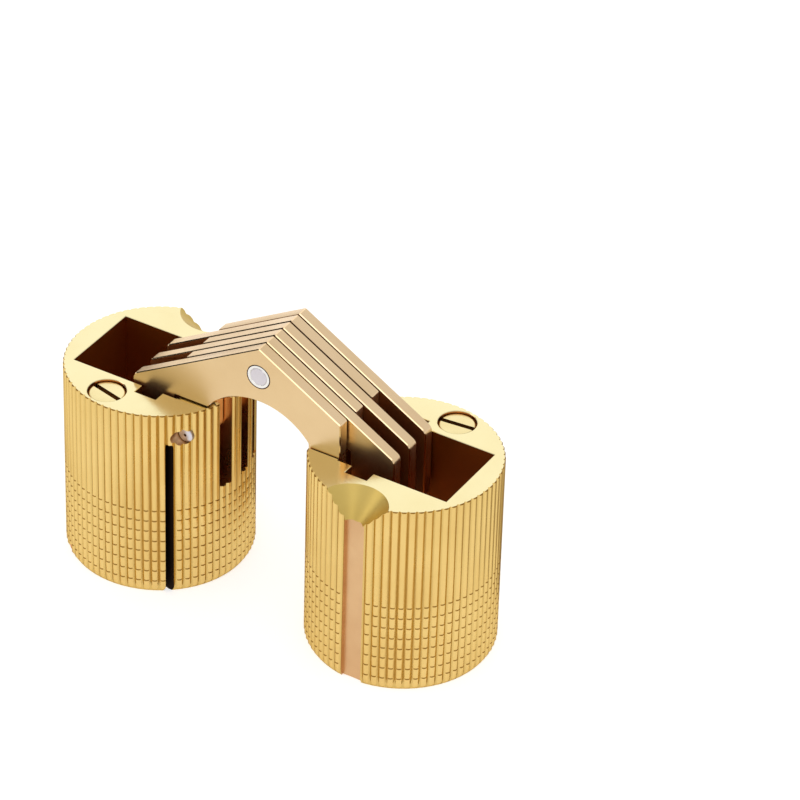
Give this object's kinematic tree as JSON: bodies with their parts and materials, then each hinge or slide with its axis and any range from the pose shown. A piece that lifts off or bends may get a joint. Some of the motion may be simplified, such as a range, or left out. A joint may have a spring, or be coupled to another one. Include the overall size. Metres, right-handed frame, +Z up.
{
  "type": "invisible barrel hinge",
  "caption": "Concealed barrel hinge: ribbed brass cylinders joined by interleaved bent leaves on cross pins, turning from face to face to lying flat open.",
  "frame": {"origin": "on the surface it stands on, midway between the two barrels", "axes": "+X from the left barrel to the right barrel, +Y along the cross pins to the back, +Z up, out of the barrels' faces"},
  "size_m": [0.0446, 0.018, 0.0289],
  "materials": {
    "barrel_brass": "bright turned and straight-knurled brass",
    "leaf_brass": "satin pale brass with a fine grain",
    "pin_steel": "ground steel",
    "screw_brass": "bright brass"
  },
  "bodies": {
    "left_barrel": {"barrel_left": "barrel_brass", "pivot_pin_left": "pin_steel"},
    "even_leaves": {"leaf_2": "leaf_brass", "leaf_4": "leaf_brass", "leaf_6": "leaf_brass", "centre_pin": "pin_steel", "slide_pin_right": "pin_steel"},
    "odd_leaves": {"leaf_1": "leaf_brass", "leaf_3": "leaf_brass", "leaf_5": "leaf_brass", "slide_pin_left": "pin_steel"},
    "right_barrel": {"barrel_right": "barrel_brass", "pivot_pin_right": "pin_steel"},
    "left_screw": {"clamp_screw_left": "screw_brass"},
    "right_screw": {"clamp_screw_right": "screw_brass"}
  },
  "joints": [
    {"name": "left_pivot", "type": "hinge", "parent": "left_barrel", "child": "even_leaves", "pos_m": [-0.00685, 0, 0.0176], "axis": [0, -1, 0], "range_deg": [0, 115.24]},
    {"name": "centre_pivot", "type": "hinge", "parent": "even_leaves", "child": "odd_leaves", "pos_m": [0, 0, 0.0258], "axis": [0, -1, 0], "range_deg": [-50.5, 0]},
    {"name": "right_pivot", "type": "hinge", "parent": "odd_leaves", "child": "right_barrel", "pos_m": [0.00685, 0, 0.0176], "axis": [0, -1, 0], "range_deg": [0, 115.24]},
    {"name": "left_screw_turn", "type": "hinge", "parent": "left_barrel", "child": "left_screw", "pos_m": [-0.01473, -0.0067, 0.0202], "axis": [0, 0, 1], "range_deg": [-270, 90]},
    {"name": "right_screw_turn", "type": "hinge", "parent": "right_barrel", "child": "right_screw", "pos_m": [0.01473, 0.0067, 0.0202], "axis": [0, 0, 1], "range_deg": [-270, 90]}
  ],
  "couplings": [
    {"joint": "centre_pivot", "follows": "left_pivot", "ratio": -0.43804},
    {"joint": "right_pivot", "follows": "left_pivot", "ratio": 1}
  ]
}
